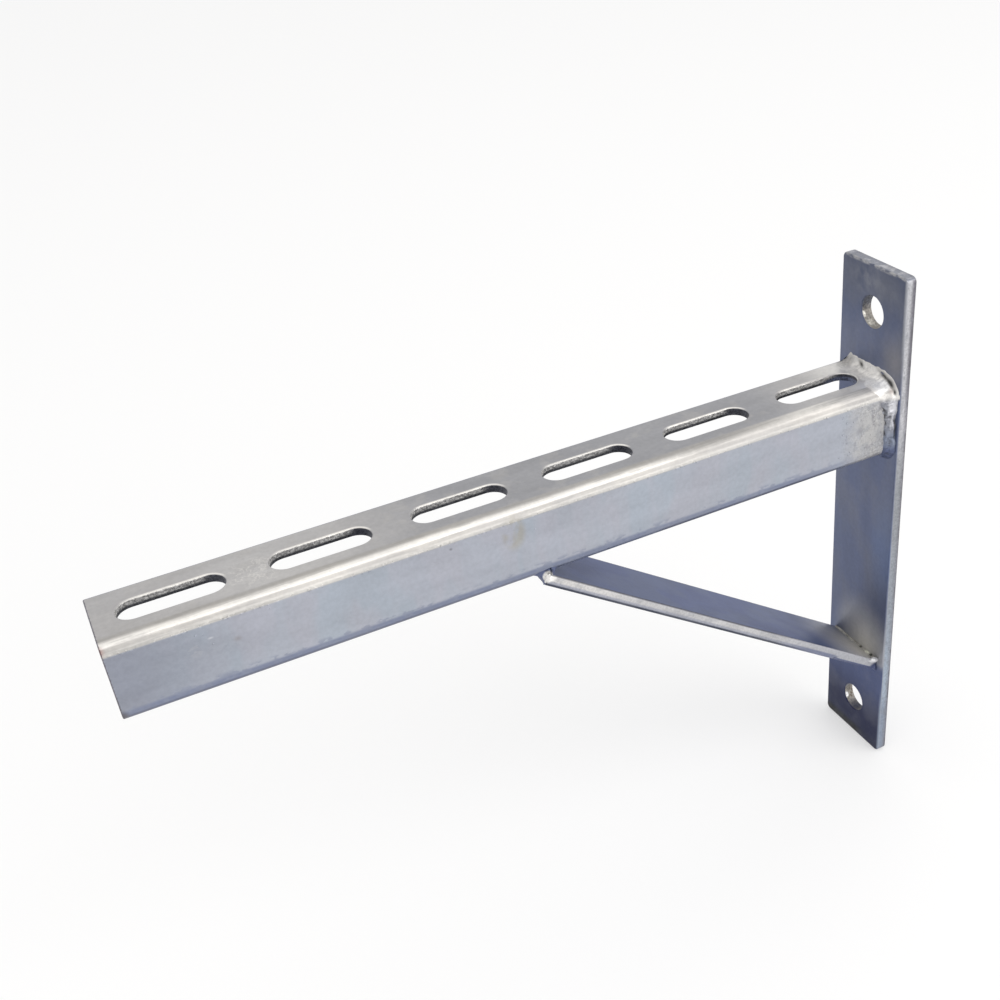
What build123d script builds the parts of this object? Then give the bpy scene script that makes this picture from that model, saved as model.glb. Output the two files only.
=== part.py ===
"""Welded wall bracket arm: a slotted channel on a bolted back plate, held up by a flat brace.

Millimetres, +Z up. The origin is on the wall face of the back plate, midway between its two
bolt holes. +X runs out of the wall along the arm, and +Y points to the side where the
channel's web is, so the channel is open towards -Y.
"""
import os
from math import atan2, cos, sin

from build123d import *

os.makedirs("parts", exist_ok=True)

# Back plate: a length of flat bar that stands upright on the wall
plate_width = 50.0
plate_height = 300.0
plate_thickness = 6.0
plate_corner_radius = 3.0
bolt_hole_diameter = 17.0
bolt_hole_spacing = 250.0

# Arm: a U-shaped channel on its side, with a square cut tip
arm_width = 40.0
arm_height = 40.0
arm_length = 394.0
arm_drop = 58.0  # from the plate's top edge down to the arm's top
sheet_thickness = 4.0
bend_radius = 6.0  # outside radius of the two folds

# Slots in the arm's top flange, counted from the plate
slot_count = 6
slot_length = 46.5
slot_width = 15.0
slot_pitch = 65.7
first_slot = 32.0
slot_line = 19.0  # from the flange's free edge to the middle of the slots

# Brace: a flat bar as wide as the arm, with both ends cut square
brace_thickness = 6.0
brace_reach = 196.5  # from the plate's front to the corner that meets the arm
brace_depth = 135.5  # from the arm's underside to the corner that meets the plate

# Rounding left on edges and rims by rolling, shearing, punching and the zinc
bar_edge_radius = 0.8
sheet_edge_radius = 0.7
rim_radius = 0.8
bolt_hole_chamfer = 0.5

# Weld round the arm's end: how far it runs along the arm and on the plate
weld_end_gap = 1.0
top_weld_along_arm = 7.4
top_weld_on_plate = 6.0
fold_weld_along_arm = 9.5
fold_weld_on_plate = 4.6
web_weld_along_arm = 6.2
web_weld_on_plate = 4.2
under_weld_along_arm = 4.5
under_weld_on_plate = 3.8
weld_end_share = 0.6  # the bead's size at its two ends, as a share of its size beside them

# Welds of the brace: how far each runs along the two faces that it joins, and how its front bulges
brace_top_weld_leg = 2.0
brace_top_weld_swell = 0.3
brace_foot_weld_leg = 3.0
brace_foot_weld_swell = 0.4
brace_foot_weld_overhang = 0.8
brace_head_weld_leg = 4.2
brace_head_weld_sag = 0.8

# Places that follow from the sizes above
plate_front = plate_thickness
arm_top = plate_height / 2 - arm_drop
arm_bottom = arm_top - arm_height
arm_middle = (arm_top + arm_bottom) / 2
slot_middle_y = slot_line - arm_width / 2
slot_middle_x = plate_front + first_slot + (slot_count - 1) * slot_pitch / 2
brace_width = arm_width
brace_slope = atan2(brace_depth, brace_reach)
brace_direction = Vector(cos(brace_slope), sin(brace_slope))
brace_down = Vector(sin(brace_slope), -cos(brace_slope)) * brace_thickness
foot_upper = Vector(plate_front, arm_bottom - brace_depth)
foot_lower = foot_upper + brace_down
head_upper = Vector(plate_front + brace_reach, arm_bottom)
head_lower = head_upper + brace_down
brace_weld_width = brace_width - 2 * weld_end_gap
foot_weld_width = brace_width + 2 * brace_foot_weld_overhang


def bulging(start, end, rise):
    """An arc from start to end that stands rise off the line between them, to the left of the way."""
    across = (end - start).rotate(Axis.Z, 90).normalized()
    return ThreePointArc(start, (start + end) / 2 + across * rise, end)


def arm_weld_section(place, outward, along_arm, on_plate):
    """The arm weld's section at a place on the arm's outline, where outward points out of the arm."""
    section_plane = Plane(place, x_dir=(1, 0, 0), z_dir=Vector(1, 0, 0).cross(outward))
    with BuildSketch(section_plane) as section:
        with BuildLine():
            Polyline((0, 0), (along_arm, 0), (0, on_plate), close=True)
        make_face()
    return section.sketch.face()


# Back plate, its long edges and corners rounded, with one bolt hole near each end
with BuildPart() as back_plate:
    with BuildSketch(Plane.YZ):
        RectangleRounded(plate_width, plate_height, plate_corner_radius)
        with GridLocations(0, bolt_hole_spacing, 1, 2):
            Circle(bolt_hole_diameter / 2, mode=Mode.SUBTRACT)
    extrude(amount=plate_thickness)
    front_edges = back_plate.faces().sort_by(Axis.X)[-1].outer_wire().edges()
    back_edges = back_plate.faces().sort_by(Axis.X)[0].outer_wire().edges()
    fillet(front_edges + back_edges, bar_edge_radius)
    front_rims = back_plate.faces().filter_by(Axis.X).sort_by(Axis.X)[-1].inner_wires().edges()
    chamfer(front_rims, bolt_hole_chamfer)

# Channel: the folded section runs the arm's whole length, and the slots are punched in its top
with BuildPart() as channel_arm:
    with BuildSketch(Plane.YZ.offset(plate_front)) as channel_section:
        with Locations((0, arm_middle)):
            Rectangle(arm_width, arm_height)
        fillet(channel_section.vertices().group_by(Axis.X)[-1], bend_radius)
        with BuildSketch(mode=Mode.PRIVATE) as hollow:
            with Locations((-sheet_thickness, arm_middle)):
                Rectangle(arm_width, arm_height - 2 * sheet_thickness)
            fillet(hollow.vertices().group_by(Axis.X)[-1], bend_radius - sheet_thickness)
        add(hollow.sketch, mode=Mode.SUBTRACT)
        fillet(channel_section.vertices().group_by(Axis.X)[0], sheet_edge_radius)
    extrude(amount=arm_length)
    with BuildSketch(Plane.XY.offset(arm_top)):
        with Locations((slot_middle_x, slot_middle_y)):
            with GridLocations(slot_pitch, 0, slot_count, 1):
                SlotOverall(slot_length, slot_width)
    extrude(amount=-sheet_thickness, mode=Mode.SUBTRACT)
    top_face = channel_arm.faces().filter_by(Axis.Z).sort_by(Axis.Z)[-1]
    fillet(top_face.inner_wires().edges(), rim_radius)
    tip_face = channel_arm.faces().filter_by(Axis.X).sort_by(Axis.X)[-1]
    fillet(tip_face.edges(), sheet_edge_radius)

# Brace: flat bar from the plate up to the arm's underside
with BuildPart() as brace_bar:
    with BuildSketch(Plane.XZ):
        with BuildLine():
            Polyline(
                (foot_upper.X, foot_upper.Y),
                (foot_lower.X, foot_lower.Y),
                (head_lower.X, head_lower.Y),
                (head_upper.X, head_upper.Y),
                close=True,
            )
        make_face()
    extrude(amount=brace_width / 2, both=True)
    long_edges = brace_bar.edges().filter_by(lambda edge: edge.length > brace_width * 2)
    fillet(long_edges, bar_edge_radius)

# Fillet weld round the channel's end: lofted along the flats and turned round the two folds
with BuildPart() as arm_weld:
    up, down, sideways = Vector(0, 0, 1), Vector(0, 0, -1), Vector(0, 1, 0)
    free_edge = weld_end_gap - arm_width / 2
    fold_y = arm_width / 2 - bend_radius
    upper_fold_z = arm_top - bend_radius
    lower_fold_z = arm_bottom + bend_radius
    top_end = (weld_end_share * top_weld_along_arm, weld_end_share * top_weld_on_plate)
    on_top = (top_weld_along_arm, top_weld_on_plate)
    at_fold = (fold_weld_along_arm, fold_weld_on_plate)
    on_web = (web_weld_along_arm, web_weld_on_plate)
    underneath = (under_weld_along_arm, under_weld_on_plate)
    under_end = (weld_end_share * under_weld_along_arm, weld_end_share * under_weld_on_plate)
    top_run = [
        arm_weld_section(Vector(plate_front, free_edge, arm_top), up, *top_end),
        arm_weld_section(Vector(plate_front, free_edge * 0.5, arm_top), up, *on_top),
        arm_weld_section(Vector(plate_front, fold_y * 0.5, arm_top), up, *on_top),
        arm_weld_section(Vector(plate_front, fold_y, arm_top), up, *at_fold),
    ]
    web_run = [
        arm_weld_section(Vector(plate_front, arm_width / 2, upper_fold_z), sideways, *at_fold),
        arm_weld_section(Vector(plate_front, arm_width / 2, arm_middle), sideways, *on_web),
        arm_weld_section(Vector(plate_front, arm_width / 2, lower_fold_z), sideways, *underneath),
    ]
    under_run = [
        arm_weld_section(Vector(plate_front, fold_y, arm_bottom), down, *underneath),
        arm_weld_section(Vector(plate_front, free_edge, arm_bottom), down, *under_end),
    ]
    loft(top_run)
    revolve(top_run[-1], Axis((plate_front, fold_y, upper_fold_z), (-1, 0, 0)), revolution_arc=90)
    loft(web_run)
    revolve(web_run[-1], Axis((plate_front, fold_y, lower_fold_z), (-1, 0, 0)), revolution_arc=90)
    loft(under_run)

# Bead in the corner above the brace's foot
with BuildPart() as brace_top_weld:
    with BuildSketch(Plane.XZ):
        with BuildLine():
            on_plate = foot_upper + Vector(0, brace_top_weld_leg)
            on_brace = foot_upper + brace_direction * brace_top_weld_leg
            Polyline(on_plate, foot_upper, on_brace)
            bulging(on_brace, on_plate, -brace_top_weld_swell)
        make_face()
    extrude(amount=brace_weld_width / 2, both=True)

# Bead that fills the wedge under the brace's foot and stands out past the brace's sides
with BuildPart() as brace_foot_weld:
    with BuildSketch(Plane.XZ):
        with BuildLine():
            under_brace = foot_lower + brace_direction * brace_foot_weld_leg
            on_plate = Vector(plate_front, foot_lower.Y - brace_foot_weld_leg)
            Polyline(on_plate, foot_upper, foot_lower, under_brace)
            bulging(under_brace, on_plate, brace_foot_weld_swell)
        make_face()
    extrude(amount=foot_weld_width / 2, both=True)

# Bead that fills the wedge between the brace's upper end and the arm's underside
with BuildPart() as brace_head_weld:
    with BuildSketch(Plane.XZ):
        with BuildLine():
            on_arm = Vector(head_lower.X + brace_head_weld_leg, arm_bottom)
            Polyline(on_arm, head_upper, head_lower)
            bulging(head_lower, on_arm, brace_head_weld_sag)
        make_face()
    extrude(amount=brace_weld_width / 2, both=True)

back_plate.part.label = "back_plate"
channel_arm.part.label = "channel_arm"
brace_bar.part.label = "brace_bar"
arm_weld.part.label = "arm_weld"
brace_top_weld.part.label = "brace_top_weld"
brace_foot_weld.part.label = "brace_foot_weld"
brace_head_weld.part.label = "brace_head_weld"

export_step(back_plate.part, "parts/back_plate.step")
export_step(channel_arm.part, "parts/channel_arm.step")
export_step(brace_bar.part, "parts/brace_bar.step")
export_step(arm_weld.part, "parts/arm_weld.step")
export_step(brace_top_weld.part, "parts/brace_top_weld.step")
export_step(brace_foot_weld.part, "parts/brace_foot_weld.step")
export_step(brace_head_weld.part, "parts/brace_head_weld.step")
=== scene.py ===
"""Looks of the welded wall bracket arm: hot-dip galvanised steel on a pale studio floor.

Metres, in the frame that the part's source uses. The origin is on the wall face of the back plate,
midway between its bolt holes. +X runs along the arm to its tip, +Y points to the channel's web, and
+Z is up. Sizes of the part are written in millimetres.
"""
import math

import bmesh
import bpy
import numpy as np
from mathutils import Matrix, Vector


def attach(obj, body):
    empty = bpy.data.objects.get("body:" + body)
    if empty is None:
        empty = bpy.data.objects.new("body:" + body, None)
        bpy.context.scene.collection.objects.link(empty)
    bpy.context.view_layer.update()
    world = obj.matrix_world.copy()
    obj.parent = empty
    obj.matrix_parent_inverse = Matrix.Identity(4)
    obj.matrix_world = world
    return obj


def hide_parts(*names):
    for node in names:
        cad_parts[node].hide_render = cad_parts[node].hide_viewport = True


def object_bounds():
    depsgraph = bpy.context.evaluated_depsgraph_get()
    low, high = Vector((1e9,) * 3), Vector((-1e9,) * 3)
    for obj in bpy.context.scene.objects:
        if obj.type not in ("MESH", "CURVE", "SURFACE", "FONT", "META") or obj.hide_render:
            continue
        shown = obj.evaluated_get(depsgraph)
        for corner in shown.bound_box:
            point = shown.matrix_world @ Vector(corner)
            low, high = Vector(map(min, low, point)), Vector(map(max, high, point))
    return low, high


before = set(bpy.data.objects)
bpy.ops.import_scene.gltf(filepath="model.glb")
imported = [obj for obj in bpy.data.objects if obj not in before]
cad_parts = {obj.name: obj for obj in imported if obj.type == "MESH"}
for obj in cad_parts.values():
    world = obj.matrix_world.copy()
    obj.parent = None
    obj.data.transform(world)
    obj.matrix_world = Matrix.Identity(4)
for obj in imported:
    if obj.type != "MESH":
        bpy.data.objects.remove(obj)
cad_low, cad_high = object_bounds()

MM = 0.001

# Sizes of the part that the finishes and the weld beads follow, in millimetres
PLATE_FRONT = 6.0
ARM_TOP, ARM_BOTTOM = 92.0, 52.0
ARM_SIDE, FOLD = 20.0, 6.0
BRACE_REACH, BRACE_DEPTH, BRACE_THICKNESS = 196.5, 135.5, 6.0
BRACE_SLOPE = math.atan2(BRACE_DEPTH, BRACE_REACH)
SLOT_LENGTH, SLOT_WIDTH, SLOT_PITCH = 46.5, 15.0, 65.7
FIRST_SLOT_MIDDLE, SLOT_LINE = 38.0, -1.0


def linear(hex_colour):
    """sRGB hex text to linear RGBA: each channel c is c/12.92 below 0.04045, else ((c+0.055)/1.055)^2.4."""
    channels = [int(hex_colour[i:i + 2], 16) / 255 for i in (1, 3, 5)]
    return [c / 12.92 if c <= 0.04045 else ((c + 0.055) / 1.055) ** 2.4 for c in channels] + [1.0]


def add_node(tree, kind, inputs=None, **settings):
    """Adds one node. Settings are its properties, and inputs gives its sockets a value or a link."""
    node = tree.nodes.new(kind)
    for name, value in settings.items():
        setattr(node, name, value)
    for name, value in (inputs or {}).items():
        socket = node.inputs[name]
        if isinstance(value, bpy.types.NodeSocket):
            tree.links.new(value, socket)
        else:
            socket.default_value = value
    return node


# Hot-dip galvanised steel: welded black steel, pickled and dipped in molten zinc, then left to
# drain and cool in air. The coat is a satin grey metal under a thin matt film of oxide, with faint
# clouds where it ran, dull patches where the alloy layer grew through, and grains and pits at cut
# edges and over burnt steel. The grain is finer than the render shows, so it is drawn 1.1 mm coarse.
CLEAN_ZINC = "#b6b4b3"
# Zinc on the channel's web, made bluer than the top by a painted reflection
SHEET_ZINC = "#a5a9b3"
# Zinc on the flat bars, darkened and blued by painted shade and reflection
BAR_ZINC = "#5f6884"
EDGE_ZINC = "#bdbdc1"
DULL_ZINC = "#97989e"
PIT_ZINC = "#66656a"
# Painted shade in the hollows, troughs and gouges of the weld beads
SOOT = "#3c3b3a"

# Directions to measure along. Through the brace, its upper face is at 72.15 mm and its lower at 78.15.
X, Y, Z = (1, 0, 0), (0, 1, 0), (0, 0, 1)
THROUGH_BRACE = (math.sin(BRACE_SLOPE), 0, -math.cos(BRACE_SLOPE))


def past(tree, place, along, start, end):
    """How far a place is past a line across the part: 0 at start and 1 at end, in millimetres along a
    direction, with a smooth change between them."""
    measured = add_node(tree, "ShaderNodeVectorMath", {0: place, 1: along}, operation="DOT_PRODUCT")
    ranged = add_node(tree, "ShaderNodeMapRange",
                      {"Value": measured.outputs["Value"], "From Min": start * MM, "From Max": end * MM},
                      interpolation_type="SMOOTHSTEP")
    return ranged.outputs["Result"]


def mirrored(tree, place):
    """A place folded over to the side of the part where X, Y and Z are all positive."""
    return add_node(tree, "ShaderNodeVectorMath", {0: place}, operation="ABSOLUTE").outputs[0]


def spot(tree, place, centre, reach, edge=1.0):
    """An ellipsoid, 1 inside and 0 from reach away on; edge is the share of its reach over which it
    fades. Both centre and reach are in millimetres along X, Y and Z."""
    offset = add_node(tree, "ShaderNodeVectorMath", {0: place, 1: [c * MM for c in centre]},
                      operation="SUBTRACT")
    scaled = add_node(tree, "ShaderNodeVectorMath",
                      {0: offset.outputs[0], 1: [1 / (r * MM) for r in reach]}, operation="MULTIPLY")
    distance = add_node(tree, "ShaderNodeVectorMath", {0: scaled.outputs[0]}, operation="LENGTH")
    ranged = add_node(tree, "ShaderNodeMapRange",
                      {"Value": distance.outputs["Value"], "From Min": 1.0, "From Max": 1.0 - edge},
                      interpolation_type="SMOOTHSTEP")
    return ranged.outputs["Result"]


def wall(tree, axis):
    """1 where the surface runs along an axis, as the wall of a hole punched that way does, and 0 where
    it lies across it."""
    level = mirrored(tree, add_node(tree, "ShaderNodeNewGeometry").outputs["Normal"])
    parts = add_node(tree, "ShaderNodeSeparateXYZ", {"Vector": level})
    ranged = add_node(tree, "ShaderNodeMapRange",
                      {"Value": parts.outputs[axis], "From Min": 0.75, "From Max": 0.35},
                      interpolation_type="SMOOTHSTEP")
    return ranged.outputs["Result"]


def mottle(tree, place, size, low, high, detail=3, stretch=(1, 1, 1)):
    """Blotches about size mm across, drawn out by stretch: noise, 0 below low and 1 above high."""
    scaled = add_node(tree, "ShaderNodeVectorMath", {0: place, 1: [1 / s for s in stretch]},
                      operation="MULTIPLY")
    noise = add_node(tree, "ShaderNodeTexNoise",
                     {"Vector": scaled.outputs[0], "Scale": 1 / (size * MM), "Detail": detail,
                      "Roughness": 0.55})
    ranged = add_node(tree, "ShaderNodeMapRange",
                      {"Value": noise.outputs["Fac"], "From Min": low, "From Max": high},
                      interpolation_type="SMOOTHSTEP")
    return ranged.outputs["Result"]


def covered(tree, *parts):
    """Where any of several parts of the surface is. Each part is a group of shares that all have to
    hold, so they are multiplied with each other, and the largest product counts."""
    largest = 0.0
    for first, *others in parts:
        for other in others:
            both = add_node(tree, "ShaderNodeMath", {0: first, 1: other}, operation="MULTIPLY")
            first = both.outputs[0]
        larger = add_node(tree, "ShaderNodeMath", {0: largest, 1: first}, operation="MAXIMUM")
        largest = larger.outputs[0]
    return largest


def layered(tree, colour, *layers):
    """Lays colours over a first one in turn. Each layer is an sRGB hex colour, and the shares that say
    where."""
    share, below, above, mixed = 0, 6, 7, 2  # the sockets for colours, which have no names of their own
    colour = linear(colour) if isinstance(colour, str) else colour
    for over, *shares in layers:
        inputs = {share: covered(tree, shares), below: colour, above: linear(over)}
        colour = add_node(tree, "ShaderNodeMix", inputs, data_type="RGBA").outputs[mixed]
    return colour


def added(tree, value, *patterns):
    """A value with patterns added to it, each multiplied by its own amount."""
    for pattern, amount in patterns:
        more = add_node(tree, "ShaderNodeMath", {0: pattern, 1: amount, 2: value}, operation="MULTIPLY_ADD")
        value = more.outputs[0]
    return value


def galvanised(name, zones, grainy, metallic, roughness, runs, pits):
    """Hot-dip galvanised steel. zones builds the colour at a place, and grainy the share of rough grainy
    coat there. metallic is under 1 for the matt film of oxide. roughness is that of the smooth coat and
    of the dull patches. runs stretches the clouds along the piece, and pits is the share of pits in the
    smooth coat."""
    material = bpy.data.materials.new(name)
    material.use_nodes = True
    tree = material.node_tree
    tree.nodes.clear()
    place = add_node(tree, "ShaderNodeTexCoord").outputs["Object"]
    patches = mottle(tree, place, 28, 0.42, 0.62, 4)
    clouds = mottle(tree, place, 9, 0.25, 0.75, 4, runs)
    fine = mottle(tree, place, 2.2, 0.28, 0.72, 3)
    grain = mottle(tree, place, 1.1, 0.34, 0.66, 2)
    rough_share = grainy(tree, place)
    pitted = covered(tree, (mottle(tree, place, 0.9, 0.42, 0.30), added(tree, pits, (rough_share, 0.6))))
    raised = covered(tree, (grain, rough_share))
    tone = added(tree, 0.9, (clouds, 0.12), (fine, 0.08), (raised, 0.5), (rough_share, -0.25))
    colour = layered(tree, zones(tree, place), (DULL_ZINC, patches, 0.15))
    toned = add_node(tree, "ShaderNodeVectorMath", {0: colour, "Scale": tone}, operation="SCALE")
    # Painted shade in the weld beads' hollows and gouges, kept on the beads' points
    soot = add_node(tree, "ShaderNodeAttribute", attribute_name="soot").outputs["Fac"]
    colour = layered(tree, toned.outputs[0], (PIT_ZINC, pitted), (SOOT, soot))
    rough = added(tree, roughness[0], (patches, roughness[1] - roughness[0]), (rough_share, 0.2))
    height = added(tree, 0.0, (raised, 1.0), (fine, 0.15), (pitted, -1.0))
    bump = add_node(tree, "ShaderNodeBump", {"Height": height, "Strength": 0.7, "Distance": 0.18 * MM})
    shader = add_node(tree, "ShaderNodeBsdfPrincipled",
                      {"Base Color": colour, "Metallic": metallic, "Roughness": rough,
                       "Normal": bump.outputs[0]})
    add_node(tree, "ShaderNodeOutputMaterial", {"Surface": shader.outputs["BSDF"]})
    return material


def from_slot(tree, place):
    """A place as seen from the middle of the nearest slot: X wraps round at half the slots' pitch."""
    parts = add_node(tree, "ShaderNodeSeparateXYZ", {"Vector": place}).outputs
    before, after = FIRST_SLOT_MIDDLE - SLOT_PITCH / 2, FIRST_SLOT_MIDDLE + SLOT_PITCH / 2
    wrapped = add_node(tree, "ShaderNodeMath", {0: parts["X"], 1: after * MM, 2: before * MM},
                       operation="WRAP")
    moved = add_node(tree, "ShaderNodeCombineXYZ",
                     {"X": wrapped.outputs[0], "Y": parts["Y"], "Z": parts["Z"]})
    middle = (FIRST_SLOT_MIDDLE * MM, SLOT_LINE * MM, 0)
    return add_node(tree, "ShaderNodeVectorMath", {0: moved.outputs[0], 1: middle},
                    operation="SUBTRACT").outputs[0]


def round_slot(tree, seen, start, end):
    """A band round a slot's outline, 0 at start and 1 at end, in millimetres out from it. The outline is
    half the slot's width away from a middle line, which is as long as the slot less its width."""
    half_line, half_width = (SLOT_LENGTH - SLOT_WIDTH) / 2, SLOT_WIDTH / 2
    parts = add_node(tree, "ShaderNodeSeparateXYZ", {"Vector": mirrored(tree, seen)}).outputs
    beyond_line = add_node(tree, "ShaderNodeMath", {0: parts["X"], 1: half_line * MM}, operation="SUBTRACT")
    clipped = add_node(tree, "ShaderNodeMath", {0: beyond_line.outputs[0], 1: 0.0}, operation="MAXIMUM")
    flat = add_node(tree, "ShaderNodeCombineXYZ", {"X": clipped.outputs[0], "Y": parts["Y"]})
    distance = add_node(tree, "ShaderNodeVectorMath", {0: flat.outputs[0]}, operation="LENGTH")
    ranged = add_node(tree, "ShaderNodeMapRange",
                      {"Value": distance.outputs["Value"], "From Min": (half_width + start) * MM,
                       "From Max": (half_width + end) * MM},
                      interpolation_type="SMOOTHSTEP")
    return ranged.outputs["Result"]


def slot_walls(tree, place):
    """The walls of the arm's punched slots."""
    return covered(tree, (wall(tree, "Z"), past(tree, mirrored(tree, place), Y, 12, 11),
                          past(tree, place, Z, 87.5, 88)))


def channel_zones(tree, place):
    """Folded sheet: clean zinc on the top with duller stretches and painted shade along its far edge, the
    web bluer by a painted reflection with a faint brownish run, painted highlight in bands along the upper
    fold and where it meets the weld, painted shade along and under the lower fold, painted highlights on
    the slots' far rims, painted shade in their walls, and painted shade at the tip's lower corner."""
    seen = from_slot(tree, place)
    slot_wall = slot_walls(tree, place)
    top = past(tree, place, Z, 90.8, 91.4)
    fold = covered(tree, (past(tree, place, Y, 12.5, 14.5), past(tree, place, Z, 86.2, 86.8)))
    # The upper fold's band of painted highlight
    shine = covered(tree, (fold, past(tree, place, Z, 89.6, 90.4), past(tree, place, Z, 91.9, 91.1)))
    web = past(tree, place, Z, 86.8, 85.8)
    near_weld = past(tree, place, X, 40, 20)
    clear_of_brace = covered(tree, (past(tree, place, X, 148, 138),), (past(tree, place, X, 204, 214),))
    return layered(
        tree, CLEAN_ZINC,
        ("#9e9ea1", past(tree, place, X, 300, 235)),
        ("#c4c2c0", spot(tree, place, (322, 0, 92), (44, 40, 20))),
        ("#b9b6b2", mottle(tree, place, 14, 0.52, 0.66), 0.4),
        ("#dedbd6", spot(tree, place, (332, 0, 92), (15, 15, 6), 0.6), mottle(tree, place, 8, 0.485, 0.50),
         mottle(tree, place, 8, 0.535, 0.52), 0.5),
        ("#b9b7b6", past(tree, place, X, 75, 40)),
        ("#e9e6e1", past(tree, place, X, 42, 20)),
        # Painted highlight where smooth zinc runs from the fold onto the top by the weld
        ("#ffffff", spot(tree, place, (18, 11, 92), (10, 8, 4)), 0.9),
        # Painted shade along the top flange's far rounded edge
        ("#747a8e", top, past(tree, place, Y, -19.0, -19.6)),
        # Painted highlight in bands across the upper fold, dimmer towards the wall
        ("#aba8a4", fold),
        ("#cac7c2", fold, past(tree, place, Z, 88.9, 87.9)),
        ("#ece9e4", shine),
        ("#aba8a4", fold, past(tree, place, Z, 88.6, 89.2), past(tree, place, X, 170, 100), 0.75),
        ("#c6c3bf", shine, past(tree, place, Z, 91.1, 90.5), past(tree, place, X, 80, 40), 0.7),
        ("#e6e3de", fold, past(tree, place, Z, 90.5, 91.2), past(tree, place, X, 100, 35)),
        ("#8e8c8a", fold, mottle(tree, place, 1.8, 0.52, 0.62, 2, (14, 1, 1)), 0.3),
        # Painted bluish reflection on the web
        (SHEET_ZINC, web),
        ("#9fa9b4", web, mottle(tree, place, 20, 0.45, 0.58, 2, (1, 1, 2.5)), 0.5),
        ("#abaab4", web, mottle(tree, place, 17, 0.45, 0.58, 2, (1, 1, 3)), 0.4),
        ("#8d919d", web, past(tree, place, X, 330, 400)),
        ("#a6a5a5", web, near_weld, 0.75),
        ("#c2c0bd", web, near_weld, mottle(tree, place, 6, 0.44, 0.56, 4), 0.45),
        ("#85848a", web, near_weld, mottle(tree, place, 4, 0.54, 0.62, 4, (1, 1, 1.6)), 0.5),
        ("#9f9a8c", spot(tree, place, (218.5, 20, 81), (7, 8, 11), 0.5),
         mottle(tree, place, 7, 0.36, 0.56, 3, (1, 1, 1.6)), 0.6),
        ("#bcbec5", spot(tree, place, (357.5, 20, 79.6), (1.8, 3, 0.8))),
        ("#a9abb2", spot(tree, place, (364, 20, 76), (9, 3, 6)),
         mottle(tree, place, 2.4, 0.50, 0.56, 2, (2, 1, 1)), 0.5),
        ("#8d8886", spot(tree, place, (347, 20, 75), (2.8, 3, 2)), 0.5),
        ("#77787e", spot(tree, place, (249, 20, 83.5), (1.2, 3, 1))),
        # Painted shade along the lower fold and under the channel, and above the brace's head
        ("#7b8298", past(tree, place, Z, 59.2, 57.4),
         covered(tree, (past(tree, place, X, 22, 60),), (past(tree, place, Z, 54, 53),))),
        ("#848a9c", past(tree, place, Z, 61.5, 59), past(tree, place, X, 22, 60),
         mottle(tree, place, 2.6, 0.50, 0.60, 3, (2, 1, 1)), 0.7),
        ("#555b70", past(tree, place, Z, 56.4, 54.8), past(tree, place, X, 22, 60), clear_of_brace),
        ("#50566a", spot(tree, place, (201, 17.5, 55), (10, 5, 2.6)),
         mottle(tree, place, 1.8, 0.46, 0.56), 0.7),
        # Painted highlight on the slots' far rims
        ("#e9e6e1", round_slot(tree, seen, 1.4, 0.6), past(tree, seen, Y, 0, -5),
         past(tree, seen, X, 22, 13), past(tree, place, Z, 90.6, 91.4)),
        # Slot walls: lighter above, partly the burnished band of the cut and partly painted light; painted
        # shade low in the walls and at their ends
        ("#d6d4d0", slot_wall),
        ("#b0aeab", slot_wall, mottle(tree, place, 1.6, 0.45, 0.55), 0.8),
        ("#47484c", slot_wall, past(tree, place, Z, 90.0, 88.9)),
        ("#4e4f57", slot_wall, past(tree, seen, X, -12, -19)),
        ("#6d748c", slot_wall, past(tree, seen, X, -8, -14), past(tree, place, X, 80, 60),
         past(tree, place, Z, 90.6, 89.8)),
        ("#75727a", past(tree, place, X, 399.3, 399.7)),
        # Painted shade on the tip's rounded lower corner
        ("#57545b", spot(tree, place, (400.3, 20, 55.2), (4.4, 5, 5.2), 0.7), 0.95),
        ("#8d5f58", spot(tree, place, (400.5, 19.5, 89.5), (3.5, 4, 3.5)), 0.8),
    )


def channel_grain(tree, place):
    """Rough coat over the spatter near the weld, on the slots' walls, along the upper fold's lower line,
    at a scuff and on the cut tip."""
    near_weld = (past(tree, place, X, 44, 16), past(tree, place, Z, 91.0, 86.5),
                 mottle(tree, place, 9, 0.38, 0.58), 0.55)
    fold_line = (past(tree, place, Y, 18.5, 19), past(tree, place, Z, 85.4, 86.2),
                 past(tree, place, Z, 87.8, 87.0), mottle(tree, place, 2.5, 0.50, 0.60), 0.7)
    scuff = spot(tree, place, (331, 1, 92), (14, 15, 6)), 0.15
    tip = past(tree, place, X, 399, 399.6), 0.8
    return covered(tree, near_weld, (slot_walls(tree, place),), fold_line, scuff, tip)


def plate_edges(tree, place):
    """The plate's narrow sides and sheared ends, where the zinc is thick and grainy, without the front's
    rounding."""
    folded = mirrored(tree, place)
    sides = covered(tree, (past(tree, folded, Y, 24.2, 24.8),), (past(tree, folded, Z, 149.2, 149.8),))
    return covered(tree, (sides, past(tree, place, X, 5.9, 4.5)))


def hole_walls(tree, place):
    """The walls of the plate's two punched bolt holes."""
    round_hole = spot(tree, mirrored(tree, place), (3, 0, 125), (12, 11, 11), 0.1)
    return covered(tree, (wall(tree, "X"), round_hole))


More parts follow.
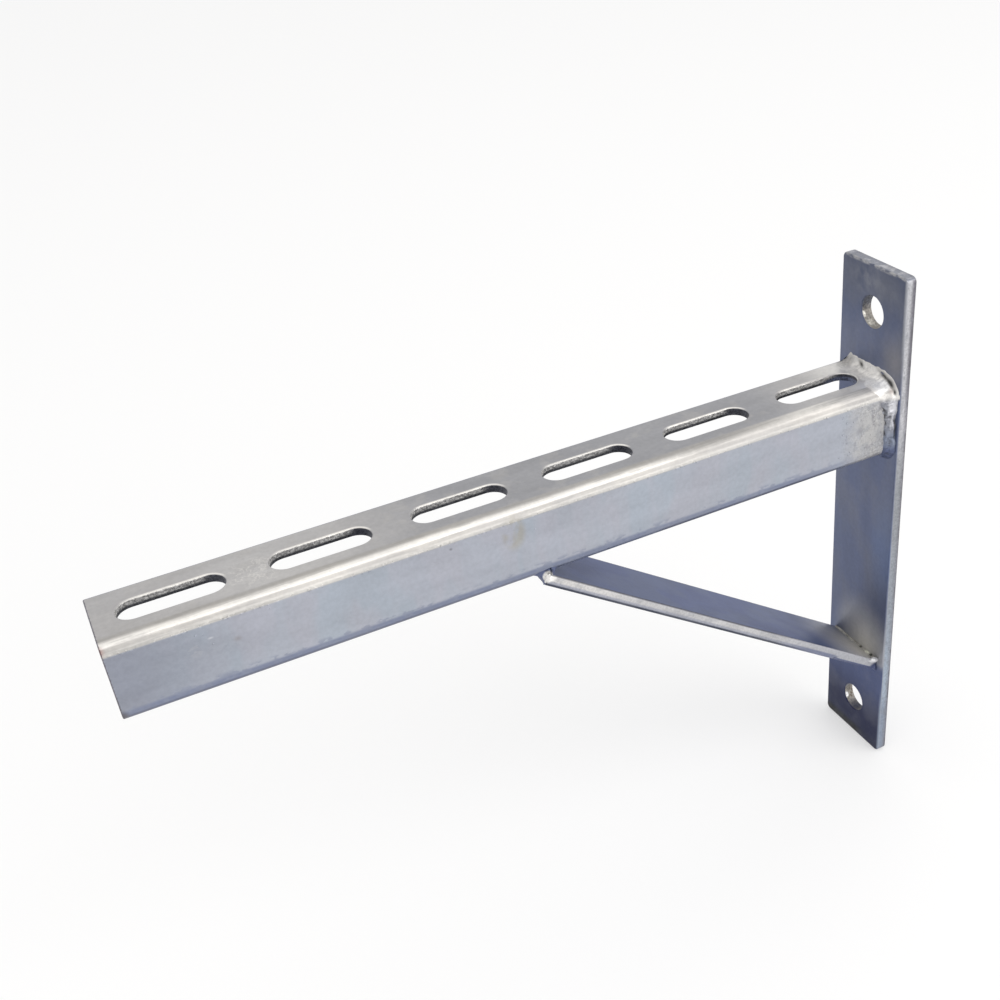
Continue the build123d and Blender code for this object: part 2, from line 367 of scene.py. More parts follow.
def plate_zones(tree, place):
    """Flat bar: zinc darkened and blued by painted shade and reflection, darker towards the top, and
    towards the foot nearly black with painted shade; pale with painted light above the brace and painted
    shade below it. Its narrow sides are bright, duller below the arm, with a painted highlight along the
    near front edge, and the walls of the holes are thinly coated and brownish, with painted shade and
    painted highlights at their front rims."""
    edges = plate_edges(tree, place)
    holes = hole_walls(tree, place)
    wall_side = past(tree, place, X, 3.6, 1.2)
    front = past(tree, place, X, 4.5, 5.5)
    return layered(
        tree, BAR_ZINC,
        ("#6b7083", mottle(tree, place, 16, 0.45, 0.62, 3, (1, 1, 2)), 0.5),
        ("#4b5268", past(tree, place, Z, 104, 146)),
        ("#7a7d87", spot(tree, place, (6, -2, 141), (14, 26, 12)), mottle(tree, place, 7, 0.38, 0.68), 0.6),
        ("#74767e", front, spot(tree, place, (6, 9, 140), (6, 22, 15)), 0.45),
        ("#808088", front, spot(tree, place, (6, 20, 104), (20, 16, 22))),
        ("#667393", front, spot(tree, place, (6, 20, -8), (10, 15, 44), 0.7)),
        # Painted light on the bar above the brace's foot, in the corner the arm shades
        ("#d2d0cc", front, spot(tree, place, (6, 7, -77), (30, 31, 35)), past(tree, place, Z, -90, -84)),
        # Painted shade below the brace's foot
        ("#475278", front, past(tree, place, Z, -84, -92)),
        # Painted shade towards the foot, nearly black at the bottom
        ("#141c42", front, past(tree, place, Z, -99, -134)),
        ("#050609", front, past(tree, place, Z, -142, -147.5), past(tree, place, Y, 18, 2)),
        ("#1b2140", front, past(tree, place, Z, -142, -147.5), past(tree, place, Y, 2, 18)),
        # Holes: a thinly coated brownish wall, with painted shade in parts of it
        ("#98938c", holes),
        ("#c9c6be", holes, spot(tree, place, (3.6, -4, 117.6), (3, 5, 3))),
        ("#5f636e", holes, past(tree, place, Z, 122, 129)),
        ("#44464f", holes, past(tree, place, Z, 121, 126), mottle(tree, place, 1.6, 0.42, 0.54), 0.7),
        ("#828796", holes, past(tree, place, Z, -124, -119), past(tree, place, Z, 0, -5)),
        ("#464856", holes, spot(tree, place, (3, 0, -134), (12, 10, 9))),
        ("#6b6055", holes, spot(tree, place, (1.5, -8, -128.5), (2.0, 4, 6), 0.5),
         mottle(tree, place, 1.6, 0.45, 0.55, 2, (1, 1, 3))),
        # Painted highlights on the holes' front rims
        ("#ffffff", holes, spot(tree, place, (4.8, -7.6, -128.6), (1.7, 2.6, 2.5), 0.6)),
        ("#f2efe6", holes, spot(tree, place, (5.0, -7.6, 121.4), (1.5, 2.2, 2.2), 0.6)),
        # Painted highlight along the bar's rounded near front edge
        ("#a2a4ab", past(tree, place, Y, 23.3, 24.8), past(tree, place, Z, 95, 125)),
        ("#7f899c", past(tree, place, Y, 23.3, 24.8), past(tree, place, Z, -95, -120)),
        (EDGE_ZINC, edges),
        ("#919499", edges, past(tree, place, Z, 80, 30)),
        ("#9da8b6", edges, past(tree, place, Z, 20, -100)),
        ("#8791a2", edges, past(tree, place, Z, -105, -120)),
        ("#7c7a82", edges, wall_side, 0.5),
        ("#737179", edges, wall_side, past(tree, place, Z, 60, 100), past(tree, place, Z, 149.5, 149)),
        ("#84868e", edges, mottle(tree, place, 3.5, 0.55, 0.62, 3, (1, 1, 1.6)), 0.4),
        ("#57565c", edges, past(tree, place, X, 2.0, 1.0),
         mottle(tree, place, 5, 0.52, 0.58, 3, (1, 1, 1.8)), 0.6),
        ("#5c5b63", past(tree, place, X, 1.1, 0.5), past(tree, place, Y, 24.2, 24.8)),
        ("#878a95", past(tree, place, Z, 149.4, 149.9), mottle(tree, place, 6, 0.40, 0.58), 0.8),
        ("#c0bebb", past(tree, place, Z, 147.9, 149.5), past(tree, place, X, 5.1, 5.5),
         mottle(tree, place, 3.0, 0.38, 0.64, 3, (1, 2, 1)), 0.7),
        # Painted shade on the bar's lower end
        ("#3a3b44", past(tree, place, Z, -149.2, -149.8)),
    )


def plate_grain(tree, place):
    """Rough coat on the bar's narrow sides and in its holes."""
    return covered(tree, (plate_edges(tree, place), 0.35), (hole_walls(tree, place), 0.8))


def brace_sides(tree, place):
    """The brace's two rolled narrow sides."""
    return past(tree, mirrored(tree, place), Y, 19.2, 19.8)


def brace_zones(tree, place):
    """Flat bar: zinc darkened and blued by painted shade and reflection, paler with painted light above the
    foot, with bright narrow sides that get duller towards the foot, painted shade along their lower rim and
    the upper face's edges, and a painted highlight on the end at the arm."""
    sides = brace_sides(tree, place)
    return layered(
        # Painted shade and reflection: the brace's zinc darkened and blued like the plate's
        tree, "#4a5884",
        ("#5a6684", mottle(tree, place, 22, 0.45, 0.62, 3, (2, 1, 1)), 0.5),
        # Painted light above the foot, as on the plate
        ("#d2d0cc", spot(tree, place, (8, 10, -82), (54, 54, 39))),
        ("#c0bfc0", sides),
        ("#d0cecc", sides, past(tree, place, X, 150, 190)),
        ("#acadb2", sides, past(tree, place, X, 90, 40)),
        ("#9fa0a6", sides, mottle(tree, place, 3.5, 0.55, 0.62, 3, (1.6, 1, 1)), 0.35),
        # Painted shade along the side's lower rounded rim, and near the foot the plate's painted shade
        ("#9fa1ac", sides, past(tree, place, THROUGH_BRACE, 74.8, 76.0), past(tree, place, X, 30, 38)),
        ("#3c4150", sides, past(tree, place, THROUGH_BRACE, 76.3, 77.1), past(tree, place, X, 36, 60)),
        ("#787d92", sides, past(tree, place, THROUGH_BRACE, 75.0, 75.9), past(tree, place, X, 80, 50),
         past(tree, place, X, 34, 37)),
        ("#3f4458", sides, spot(tree, place, (36.5, 20, -68.4), (3.2, 3, 1.1)), 0.8),
        ("#545c7c", sides, past(tree, place, THROUGH_BRACE, 76.5, 77.0), past(tree, place, X, 38, 35)),
        ("#545c7c", sides, spot(tree, place, (7.5, 20, -89), (7, 3, 5.5), 0.4)),
        # Painted highlight on the side's end at the arm, carried onto the weld lump there
        ("#f6f4f0", sides, spot(tree, place, (203.5, 20, 51.5), (6, 3, 4), 0.5)),
        # Painted shade along the upper face's rounded far and near edges
        ("#30344a", past(tree, place, Y, -18.9, -19.4), past(tree, place, THROUGH_BRACE, 73.2, 72.4)),
        ("#2f3448", past(tree, place, Y, 18.9, 19.4), past(tree, place, THROUGH_BRACE, 72.9, 72.5),
         past(tree, place, X, 45, 90), 0.7),
    )


def brace_grain(tree, place):
    """Rough coat on the bar's narrow sides."""
    return covered(tree, (brace_sides(tree, place), 0.22))


def weld_zones(tree, place):
    """Weld metal under zinc: pale on the arm's top, lightened with painted light, with painted highlights
    at the fold, bluer down the web by a painted reflection with a painted highlight on its ridge, painted
    shade at the bottom, dull above the brace's foot and painted shade below it, a painted highlight on the
    lump at the brace's head, and a painted highlight on the blob at the foot."""
    return layered(
        # Pale weld zinc, lightened with painted light against the dark bar it reflects
        tree, "#ece9e4",
        ("#96938f", spot(tree, place, (7.5, -16, 93.5), (10, 9, 7)), 0.85),
        # Painted highlights where smooth zinc flooded the bead at the fold
        ("#ffffff", spot(tree, place, (11, 16.5, 92.5), (6.5, 6, 5), 0.6)),
        ("#ffffff", spot(tree, place, (14, 9, 92.5), (8, 8, 5)), 0.8),
        ("#8f6f66", spot(tree, place, (8.2, 20.5, 89.5), (2.2, 2.6, 3)), 0.6),
        # Painted bluish reflection on the bead down the web, as on the web
        ("#9b9da5", past(tree, place, Z, 88, 84), past(tree, place, Y, 10, 16)),
        ("#7f8189", past(tree, place, Z, 88, 84), past(tree, place, Y, 10, 16),
         mottle(tree, place, 3.2, 0.50, 0.60), 0.7),
        # Painted highlight on the bead's ridge down the web
        ("#cfcfd4", past(tree, place, Z, 88, 84), past(tree, place, Y, 21.6, 22.6),
         past(tree, place, Y, 24, 23), past(tree, place, Z, 66, 72)),
        # Painted shade towards the bottom, as along the lower fold
        ("#80889a", past(tree, place, Z, 74, 62)),
        ("#525b7a", past(tree, place, Z, 62, 56)),
        # Painted highlight on the lump at the brace's end, as on the brace's side
        ("#dcdad7", spot(tree, place, (204.3, 20, 51.0), (3.2, 2.4, 4.2), 0.3)),
        ("#8e8c86", past(tree, place, Z, -70, -74)),
        # Painted shade below the brace's foot, as on the plate
        ("#545c7c", past(tree, place, Z, -83.5, -84.5)),
        ("#c6c6b8", spot(tree, place, (7, 11.5, -82.4), (3, 3, 2.5))),
        ("#33312c", spot(tree, place, (7, 5.6, -82.4), (1.8, 1.3, 1.6), 0.6)),
        ("#3a3b33", spot(tree, place, (7, 15.0, -82.4), (2.0, 1.4, 1.8), 0.6)),
        # Painted highlight on the blob at the foot's near corner
        ("#cfcfd1", spot(tree, place, (8.6, 21.5, -81.4), (7, 3, 4.5), 0.3)),
    )


def weld_grain(tree, place):
    """Rough coat in scattered places on the beads, and all over the bead on the web."""
    scattered = mottle(tree, place, 5, 0.42, 0.62), 0.2
    web = (past(tree, place, Z, 88, 84), past(tree, place, Z, 50, 55),
           mottle(tree, place, 3, 0.42, 0.55), 0.9)
    return covered(tree, scattered, web)


channel_zinc = galvanised("galvanised_folded_sheet", channel_zones, channel_grain, metallic=0.65,
                          roughness=(0.30, 0.38), runs=(4, 1, 1), pits=0.05)
plate_zinc = galvanised("galvanised_plate_bar", plate_zones, plate_grain, metallic=0.65,
                        roughness=(0.42, 0.50), runs=(1, 1, 6), pits=0.10)
brace_zinc = galvanised("galvanised_brace_bar", brace_zones, brace_grain, metallic=0.65,
                        roughness=(0.42, 0.50), runs=(6, 1, 1), pits=0.10)
weld_zinc = galvanised("galvanised_weld_bead", weld_zones, weld_grain, metallic=0.5,
                       roughness=(0.36, 0.46), runs=(1, 1, 1), pits=0.10)
finishes = {"channel_arm": channel_zinc, "back_plate": plate_zinc, "brace_bar": brace_zinc}
for name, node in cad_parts.items():
    node.data.materials.clear()
    node.data.materials.append(finishes.get(name, weld_zinc))


# Weld beads. Their points are in millimetres, and become metres in new_piece.


def waves(points, size, seed):
    """Lumps about size mm across: a sum of sixty sines, sin(k.p + c), over the points p. k has random
    directions and lengths of 2 pi / size, divided by 0.7 to 1.6, and c is random. The sum is divided so
    that most values are between -1 and 1."""
    draw = np.random.default_rng(seed)
    k = draw.normal(size=(60, 3))
    k *= (2 * np.pi / (size * draw.uniform(0.7, 1.6, 60)) / np.linalg.norm(k, axis=1))[:, None]
    turn = draw.uniform(0, 2 * np.pi, 60)
    return np.sin(points @ k.T + turn).sum(-1) / np.sqrt(60)


def new_piece(name, points, faces, material, replaced=(), soot=None):
    """A closed mesh from points in millimetres, its faces turned outward. It rides on the part's one
    body and takes the given finish. The last argument is the painted shade of each point in its hollow,
    from 0 to 1, kept for the material."""
    data = bpy.data.meshes.new(name)
    data.from_pydata((points * MM).tolist(), [], faces)
    shell = bmesh.new()
    shell.from_mesh(data)
    bmesh.ops.recalc_face_normals(shell, faces=shell.faces)
    shell.to_mesh(data)
    shell.free()
    if soot is not None:
        kept = data.attributes.new("soot", "FLOAT", "POINT")
        kept.data.foreach_set("value", np.asarray(soot, np.float32))
    data.materials.append(material)
    data.shade_smooth()
    data.update()
    piece = bpy.data.objects.new(name, data)
    bpy.context.scene.collection.objects.link(piece)
    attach(piece, "root")
    if replaced:
        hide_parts(*replaced)


def closed_strip(name, rings, soot, material, replaced=()):
    """A closed skin over rings, an array of n closed sections of m points each: quads join each section
    to the next, and the first and last are closed by a fan about their middle."""
    n, m = rings.shape[:2]
    index = np.arange(n * m).reshape(n, m)
    after = np.roll(index, -1, axis=1)
    quads = np.stack([index[:-1], index[1:], after[1:], after[:-1]], -1).reshape(-1, 4)
    first, last = n * m, n * m + 1
    fan_first = np.stack([index[0], after[0], np.full(m, first)], -1)
    fan_last = np.stack([after[-1], index[-1], np.full(m, last)], -1)
    points = np.concatenate([rings.reshape(-1, 3), [rings[0].mean(0)], [rings[-1].mean(0)]])
    soot = np.concatenate([soot.ravel(), [0, 0]])
    faces = [*quads.tolist(), *fan_first.tolist(), *fan_last.tolist()]
    new_piece(name, points, faces, material, replaced, soot)


BEAD_POINTS = 25  # points across a bead's front


def bead_rings(corner, along_a, along_b, leg_a, leg_b, hollow, relief, rise=0.0, feather=0.0):
    """Sections of a weld bead that fills a corner between two faces. At each place s on the corner line,
    the front runs from the toe at leg_a along face a to the toe at leg_b along face b:
    p(t) = corner + a leg_a (1-t)^h + b leg_b t^h, with t from 0 to 1 and h = hollow, so it sags for h
    over 1 and swells under 1. relief(p, t) lifts it along the outward direction between the faces, and
    says how much shade is painted in its hollows. rise is how far face b curves up from the corner at each
    place s. Past its toes the front dips 0.1 mm under the two faces, over a length of feather, so it runs
    out into them without a step. The corner is sunk by 0.15 mm."""
    t = np.linspace(0, 1, BEAD_POINTS)
    share_a = (1 - t)[None] ** hollow[:, None]
    share_b = t[None] ** hollow[:, None]
    lifted = np.zeros(corner.shape) + np.array([0, 0, 1.0]) * np.reshape(rise, (-1, 1))
    front = (corner[:, None] + along_a[:, None] * (leg_a[:, None] * share_a)[..., None]
             + along_b[:, None] * (leg_b[:, None] * share_b)[..., None]
             + lifted[:, None] * t[None, :, None])
    outward = along_a[:, None] * leg_b[:, None, None] + along_b[:, None] * leg_a[:, None, None]
    outward = outward / np.linalg.norm(outward, axis=-1, keepdims=True)
    lift, soot = relief(front, t)
    front = front + outward * lift[..., None]
    soot = np.concatenate([soot[:, :1], soot, soot[:, -1:], soot[:, -1:]], axis=1)
    toe_a = front[:, :1] + feather * along_a[:, None] - 0.1 * along_b[:, None]
    toe_b = front[:, -1:] + feather * along_b[:, None] - 0.1 * along_a[:, None]
    root = (corner + lifted - 0.15 * (along_a + along_b))[:, None]
    return np.concatenate([toe_a, front, toe_b, root], axis=1), soot


def ripples(distance, t, pitch):
    """Chevron ripples of a weld pool: 1 at the ridges and 0 in the narrow troughs, |sin| of the distance
    along the bead, bent back by the pool's round front, (t - 0.5)^2."""
    phase = np.pi * (distance[:, None] / pitch + 1.1 * (t[None] - 0.5) ** 2)
    return np.abs(np.sin(phase)) ** 0.6


def arm_outline(step):
    """The channel's outside from near the top flange's free edge over the top, round the upper fold,
    down the web, round the lower fold and back along the underside: places, outward directions and
    distance so far, about step mm apart. Straight runs and quarter circles of the fold's radius."""
    free_edge, fold_y = 1.0 - ARM_SIDE, ARM_SIDE - FOLD
    upper, lower = ARM_TOP - FOLD, ARM_BOTTOM + FOLD
    quarter = np.pi * FOLD / 2
    ends = np.cumsum([0, fold_y - free_edge, quarter, upper - lower, quarter, fold_y - free_edge])
    s = np.linspace(0, ends[-1], int(ends[-1] / step))
    y = np.interp(s, ends, [free_edge, fold_y, fold_y, fold_y, fold_y, free_edge])
    z = np.interp(s, ends, [upper, upper, upper, lower, lower, lower])
    angle = np.interp(s, ends, [np.pi / 2, np.pi / 2, 0, 0, -np.pi / 2, -np.pi / 2])
    outward = np.stack([0 * s, np.cos(angle), np.sin(angle)], -1)
    middle = np.stack([0 * s, y, z], -1)
    return middle + FOLD * outward, outward, s


# Gouges left between the runs of the arm's weld, and ridges where the depth is negative: distance along
# it in mm, share of the way across it, how that leans for each mm along it, depth and length in mm, and
# width as a share of the way across.
GOUGES = [
    (13.2, 0.70, -0.040, 0.75, 2.5, 0.09),
    (31.4, 0.80, -0.012, 0.8, 4.2, 0.09),
    (36.6, 0.77, 0.0, 0.9, 2.2, 0.11),
    (39.9, 0.78, 0.0, 0.6, 0.9, 0.08),
    (16.5, 0.97, 0.0, 0.4, 6.0, 0.03),
    (31.0, 0.96, 0.0, -0.35, 6.5, 0.04),
    (47.5, 0.08, 0.05, 0.9, 1.3, 0.14),
    (51.5, 0.12, -0.05, 1.0, 1.8, 0.15),
    (55.8, 0.07, 0.0, 0.7, 1.2, 0.12),
    (61.5, 0.06, 0.0, 0.4, 1.6, 0.10),
    (57.5, 0.80, 0.0, -0.55, 8.0, 0.08),
    (58.0, 0.97, 0.0, 0.5, 7.0, 0.05),
    (21.0, 0.45, 0.0, -0.35, 4.0, 0.16),
    (48.5, 0.55, 0.0, -0.5, 2.2, 0.14),
]


def arm_weld_piece():
    """The bead round the channel's end. Its legs along the arm and on the plate are given at marks along
    it, and follow the photographed bead: wide and hollow on the top, smooth where zinc flooded it at the
    fold, narrow and full on the web. hollow is the power that bead_rings bends its front with, and
    coarse says how rough it is. Gouges are bells, exp(-(ds / length)^2 - (dt / width)^2)."""
    outline, outward, s = arm_outline(0.35)
    corner = outline + [PLATE_FRONT, 0, 0]
    along_arm = np.tile([1.0, 0, 0], (len(s), 1))
    marks = [0, 3, 9, 18, 24, 29, 33, 37, 40, 42, 45, 50, 55, 63, 70, 76, 95, 107, 112]
    on_arm = np.interp(s, marks, [6, 9, 9.5, 8, 8, 10.5, 12, 11, 8.5, 7.7,
                                  7.9, 6.6, 5.3, 5.3, 4.5, 4.2, 4.5, 4.5, 3])
    on_plate = np.interp(s, marks, [1.6, 5.3, 6.0, 6.2, 5.5, 5.3, 4.9, 4.5, 4.5, 4.1,
                                    3.5, 2.9, 3.0, 3.4, 3.6, 3.6, 3.8, 3.8, 2.5])
    hollow = np.interp(s, marks, [1.6, 1.9, 2.0, 2.0, 2.0, 2.0, 1.9, 1.6, 1.2, 0.95,
                                  0.75, 0.65, 0.65, 0.7, 0.8, 1, 1, 1, 1])
    coarse = np.interp(s, marks, [0.15, 0.2, 0.2, 0.2, 0.25, 0.25, 0.2, 0.2, 0.4, 0.5,
                                  0.6, 0.6, 0.5, 0.35, 0.3, 0.4, 1, 1, 1])
    on_arm = on_arm + 0.3 * waves(corner, 9, 3) + 0.12 * waves(corner, 3, 4)
    on_plate = on_plate + 0.25 * waves(corner, 8, 5) + 0.2 * waves(corner, 2.6, 6)

    def relief(front, t):
        between_toes = (t ** 0.9 * (1 - t) ** 0.45)[None] * 1.9
        inside = between_toes * coarse[:, None] + 0.25 * np.sin(np.pi * t)[None] ** 2
        pool = ripples(s + 0.5 * waves(corner, 6, 9), t, 2.3) - 0.6
        lift = inside * (0.4 * waves(front, 4.5, 7) + 0.2 * waves(front, 1.7, 8) + 0.3 * pool)
        # Painted shade where the front dips, and more in each gouge below
        soot = np.clip(-0.9 * lift - 0.05, 0, 0.4)
        for at, across, lean, deep, long, wide in GOUGES:
            off = t[None] - across - lean * (s[:, None] - at)
            pit = np.exp(-((s[:, None] - at) / long) ** 2 - (off / wide) ** 2)
            lift = lift - deep * pit
            soot = soot + pit * (deep > 0)
        return lift, np.clip(soot, 0, 1)

    rings, soot = bead_rings(corner, along_arm, outward, on_arm, on_plate, hollow, relief, feather=0.6)
    closed_strip("arm_weld_bead", rings, soot, weld_zinc, ["arm_weld"])


# Directions for the beads: up along the brace, down across its square cut ends, up, and away from the wall
UP_BRACE = np.array([math.cos(BRACE_SLOPE), 0, math.sin(BRACE_SLOPE)])
DOWN_END = np.array([math.sin(BRACE_SLOPE), 0, -math.cos(BRACE_SLOPE)])
UP, OUT = np.array([0, 0, 1.0]), np.array([1.0, 0, 0])


def under_fold(y):
    """How far the channel's lower fold of radius r stands above its underside at y, r - sqrt(r^2 - d^2),
    where d is how far y is past the fold's start, stopped at 5.7 mm, before the fold is upright."""
    return FOLD - np.sqrt(FOLD ** 2 - np.clip(y - ARM_SIDE + FOLD, 0, 5.7) ** 2)


def brace_bead(name, place, along_a, along_b, leg_a, leg_b, hollow, rough, seed, replaced=(), reach=19.6,
               root=None, on_arm=False):
    """A bead across the brace, over y, in a corner at place between two faces. Both legs wander by waves
    and shrink over the last 2 mm as the quarter of an ellipse, sqrt(1 - u^2). rough is how high its
    ripples stand. root is the bottom of the gap behind it, where that isn't the corner. on_arm lets
    face b follow the channel's lower fold."""
    y = np.linspace(-reach, reach, 130)
    corner = np.stack([0 * y + place[0], y, 0 * y + place[1]], -1)
    into_end = np.clip(np.abs(y) - reach + 2, 0, 2) / 2.02
    ends = np.sqrt(np.clip(1 - into_end ** 2, 0.02, 1))
    legs = [leg * ends * (1 + 0.10 * waves(corner, 7, seed + k) + 0.06 * waves(corner, 2.5, seed + k + 2))
            for k, leg in enumerate((leg_a, leg_b))]

    def relief(front, t):
        inside = np.sin(np.pi * t)[None] ** 0.7
        lift = inside * rough * (0.6 * waves(front, 3, seed + 5) + 0.3 * waves(front, 1.2, seed + 6)
                                 + ripples(y + 0.4 * waves(corner, 5, seed + 7), t, 1.9) - 0.6)
        # Painted shade in the troughs between the ripples
        return lift, np.clip(-6 * lift - 0.4, 0, 1)

    rings, soot = bead_rings(corner, np.tile(along_a, (len(y), 1)), np.tile(along_b, (len(y), 1)), *legs,
                             np.full(len(y), hollow), relief, rise=under_fold(y) if on_arm else 0.0)
    if root:
        rings[:, -1, 0], rings[:, -1, 2] = root
    closed_strip(name, rings, soot, weld_zinc, replaced)


def zinc_lump(name, centre, reach, seed, turn=0.0, material=weld_zinc):
    """A lump of weld metal: an ellipsoid of the given half lengths, swollen and dented by waves of 12% and
    5% of its size, with its long axis turned about Y. Its points are the sines and cosines of two
    angles, latitude and longitude, and both poles are closed."""
    latitude = np.linspace(-np.pi / 2, np.pi / 2, 26)[1:-1, None]
    longitude = np.linspace(0, 2 * np.pi, 40, endpoint=False)
    ball = np.stack([np.cos(latitude) * np.cos(longitude), np.sin(latitude) * np.ones(40),
                     np.cos(latitude) * -np.sin(longitude)], -1)
    swelling = 1 + 0.12 * waves(ball * 3, 3.0, seed) + 0.05 * waves(ball * 3, 1.1, seed + 1)
    ball = ball * swelling[..., None] * np.array(reach)
    cosine, sine = math.cos(turn), math.sin(turn)
    ball = ball @ np.array([[cosine, 0, sine], [0, 1, 0], [-sine, 0, cosine]]) + np.array(centre)
    closed_strip(name, ball, np.zeros(ball.shape[:2]), material)


FOOT_Z = ARM_BOTTOM - BRACE_DEPTH
HEAD_X = PLATE_FRONT + BRACE_REACH
UNDER_FOOT_Z = FOOT_Z - BRACE_THICKNESS / math.cos(BRACE_SLOPE)
arm_weld_piece()
brace_bead("brace_top_bead", (PLATE_FRONT, FOOT_Z), UP_BRACE, UP, leg_a=1.6, leg_b=1.4, hollow=0.9,
           rough=0.14, seed=20, replaced=["brace_top_weld"])
brace_bead("brace_foot_bead", (PLATE_FRONT, UNDER_FOOT_Z), UP_BRACE, -UP, leg_a=3.0, leg_b=1.2, hollow=1.0,
           rough=0.05, seed=40, replaced=["brace_foot_weld"], reach=19.5, root=(PLATE_FRONT - 0.1, FOOT_Z))
brace_bead("brace_head_bead", (HEAD_X, ARM_BOTTOM), DOWN_END, OUT, leg_a=6.0, leg_b=7.6, hollow=1.35,
           rough=0.07, seed=60, replaced=["brace_head_weld"], on_arm=True)
brace_bead("brace_head_inner_bead", (HEAD_X, ARM_BOTTOM), -UP_BRACE, -OUT, leg_a=3.4, leg_b=4.2,
           hollow=1.2, rough=0.1, seed=70, on_arm=True)
zinc_lump("head_corner_bead", (204.2, 19.35, 50.4), (1.5, 0.7, 2.6), seed=82, turn=0.47)
zinc_lump("foot_corner_bead", (8.6, 19.9, -81.9), (3.6, 1.5, 1.6), seed=80, turn=0.25)

# Drops of zinc that froze on the web: place along the arm, height and half length
PIMPLES = [(363, 83.0, 0.7), (360, 82.0, 0.4), (357, 76.4, 0.6), (368, 81.0, 0.4), (331, 84.1, 0.5),
           (208, 79.5, 0.6)]
for number, (x, z, size) in enumerate(PIMPLES):
    zinc_lump(f"zinc_pimple_{number + 1}", (x, ARM_SIDE, z), (size, 0.35 * size, 0.7 * size),
              seed=90 + number, material=channel_zinc)


def spatter(name, count, seed):
    """Balls of weld spatter under the zinc on the channel's web, closer together towards the weld: count
    half sunk balls of 0.15 to 0.5 mm radius, each of rows rings of columns points, whose distances from
    the weld are an even draw to the power 1.6."""
    rows, columns = 8, 12
    per_ball = rows * columns
    draw = np.random.default_rng(seed)
    latitude, longitude = np.meshgrid(np.linspace(-1.45, 1.45, rows),
                                      np.linspace(0, 2 * np.pi, columns, endpoint=False), indexing="ij")
    ball = np.stack([np.cos(latitude) * np.cos(longitude), np.cos(latitude) * -np.sin(longitude),
                     np.sin(latitude)], -1).reshape(-1, 3)
    x = 11.5 + 27 * draw.uniform(0, 1, count) ** 1.6
    z = draw.uniform(ARM_BOTTOM + FOLD, ARM_TOP - FOLD, count)
    radius = 0.15 + 0.35 * draw.uniform(0, 1, count) ** 2.5
    centre = np.stack([x, np.full(count, ARM_SIDE), z], -1)
    points = (centre[:, None] + ball[None] * radius[:, None, None] * [1.0, 0.7, 1.0]).reshape(-1, 3)
    ring = np.arange(per_ball).reshape(rows, columns)
    after = np.roll(ring, -1, axis=1)
    quads = np.stack([ring[:-1], ring[1:], after[1:], after[:-1]], -1).reshape(-1, 4)
    faces = (quads[None] + per_ball * np.arange(count)[:, None, None]).reshape(-1, 4).tolist()
    caps = [(per_ball * k + cap).tolist() for k in range(count) for cap in (ring[0], ring[-1][::-1])]
    new_piece(name, points, faces + caps, channel_zinc)


spatter("weld_spatter", count=150, seed=30)

# Floor: white paper, 12 m each way. Rays from the camera, and those that metal throws back, see it
# brighter than its colour, and the part's shadow stays on it.
floor_level = cad_low.z - 0.5 * MM
corners = [(x, y, floor_level) for x, y in ((-6, -6), (6, -6), (6, 6), (-6, 6))]
floor_data = bpy.data.meshes.new("studio_floor")
floor_data.from_pydata(corners, [], [(0, 1, 2, 3)])
floor = bpy.data.objects.new("studio_floor", floor_data)
bpy.context.scene.collection.objects.link(floor)
paper = bpy.data.materials.new("white_paper_floor")
paper.use_nodes = True
tree = paper.node_tree
tree.nodes.clear()
lit = add_node(tree, "ShaderNodeBsdfPrincipled",
               {"Base Color": (0.92, 0.92, 0.92, 1), "Roughness": 0.9, "Specular IOR Level": 0.1})
light_path = add_node(tree, "ShaderNodeLightPath").outputs
direct = light_path["Is Camera Ray"]
for ray in ("Is Glossy Ray", "Is Transmission Ray"):
    either = add_node(tree, "ShaderNodeMath", {0: direct, 1: light_path[ray]}, operation="MAXIMUM")
    direct = either.outputs[0]
share = add_node(tree, "ShaderNodeMath", {0: direct, 1: 0.45}, operation="MULTIPLY")
white = add_node(tree, "ShaderNodeEmission", {"Color": (1, 1, 1, 1), "Strength": 1.0})
shown = add_node(tree, "ShaderNodeMixShader",
                 {0: share.outputs[0], 1: lit.outputs["BSDF"], 2: white.outputs[0]})
add_node(tree, "ShaderNodeOutputMaterial", {"Surface": shown.outputs[0]})
floor_data.materials.append(paper)

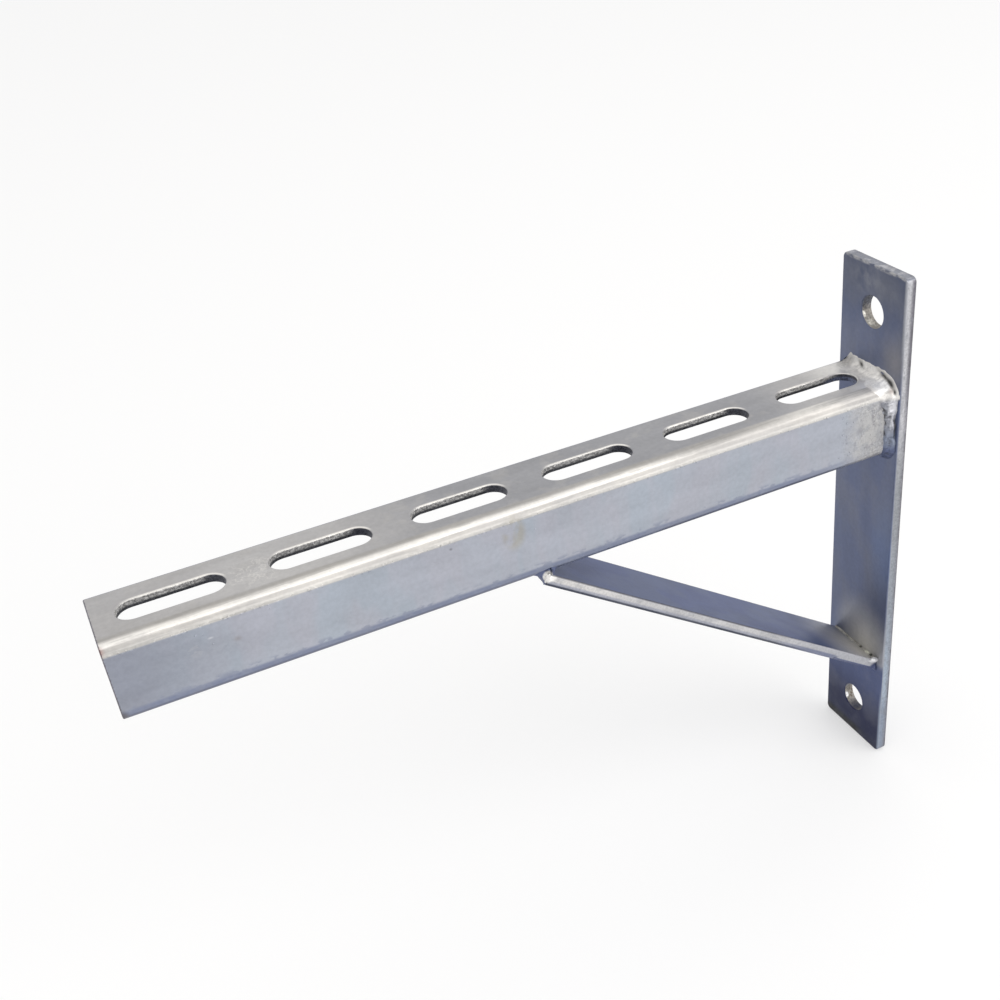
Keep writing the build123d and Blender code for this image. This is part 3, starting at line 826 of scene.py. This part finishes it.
# Room: a pale studio, a little cooler and darker towards the floor
world = bpy.data.worlds.new("studio_room")
bpy.context.scene.world = world
world.use_nodes = True
tree = world.node_tree
tree.nodes.clear()
direction = add_node(tree, "ShaderNodeTexCoord")
parts = add_node(tree, "ShaderNodeSeparateXYZ", {"Vector": direction.outputs["Generated"]})
ramp = add_node(tree, "ShaderNodeValToRGB", {"Fac": parts.outputs["Z"]})
ramp.color_ramp.elements[0].position = 0.0
ramp.color_ramp.elements[0].color = (0.66, 0.68, 0.72, 1)
ramp.color_ramp.elements[1].position = 0.45
ramp.color_ramp.elements[1].color = (0.80, 0.80, 0.81, 1)
zenith = ramp.color_ramp.elements.new(0.95)
zenith.color = (1.05, 1.04, 1.02, 1)
background = add_node(tree, "ShaderNodeBackground", {"Color": ramp.outputs["Color"], "Strength": 1.0})
add_node(tree, "ShaderNodeOutputWorld", {"Surface": background.outputs["Background"]})


def softbox(name, place, aim, size, power, colour):
    """A rectangular lamp, which stands at a place and faces another. Metres and watts."""
    data = bpy.data.lights.new(name, "AREA")
    data.shape = "RECTANGLE"
    data.size, data.size_y = size
    data.energy = power
    data.color = colour
    light = bpy.data.objects.new(name, data)
    light.location = place
    light.rotation_euler = (Vector(aim) - Vector(place)).to_track_quat("-Z", "Y").to_euler()
    light.visible_camera = False
    bpy.context.scene.collection.objects.link(light)


softbox("key_softbox", place=(-1.15, 2.43, 1.70), aim=(0.15, 0, 0), size=(3.6, 3.5), power=62.0,
        colour=(1.0, 0.985, 0.96))

# Camera: where the fit to the photograph's edges puts it. Its angles are those of its view: towards
# which side from +Y, how far down, and how far rolled.
IMAGE_PX = 1000
FOCAL_PX = 1277.77
CENTRE_PX = (578.77, 547.21)
SENSOR_MM = 36.0
camera_data = bpy.data.cameras.new("product_camera")
camera = bpy.data.objects.new("product_camera", camera_data)
bpy.context.scene.collection.objects.link(camera)
bpy.context.scene.camera = camera
camera_data.sensor_width = SENSOR_MM
camera_data.lens = FOCAL_PX * SENSOR_MM / IMAGE_PX
camera_data.shift_x = (IMAGE_PX / 2 - CENTRE_PX[0]) / IMAGE_PX
camera_data.shift_y = (CENTRE_PX[1] - IMAGE_PX / 2) / IMAGE_PX
heading, dip, roll = math.radians(-155.9059), math.radians(33.079), math.radians(-5.4078)
forward = Vector((math.cos(dip) * math.sin(heading), math.cos(dip) * math.cos(heading), -math.sin(dip)))
level_right = forward.cross(Vector((0, 0, 1))).normalized()
level_up = level_right.cross(forward)
right = math.cos(roll) * level_right + math.sin(roll) * level_up
up = -math.sin(roll) * level_right + math.cos(roll) * level_up
stands_at = Vector((0.391541, 0.476723, 0.387776))
turned = Matrix((right, up, -forward)).transposed().to_4x4()
camera.matrix_world = Matrix.Translation(stands_at) @ turned

bpy.context.scene.view_settings.view_transform = "Standard"
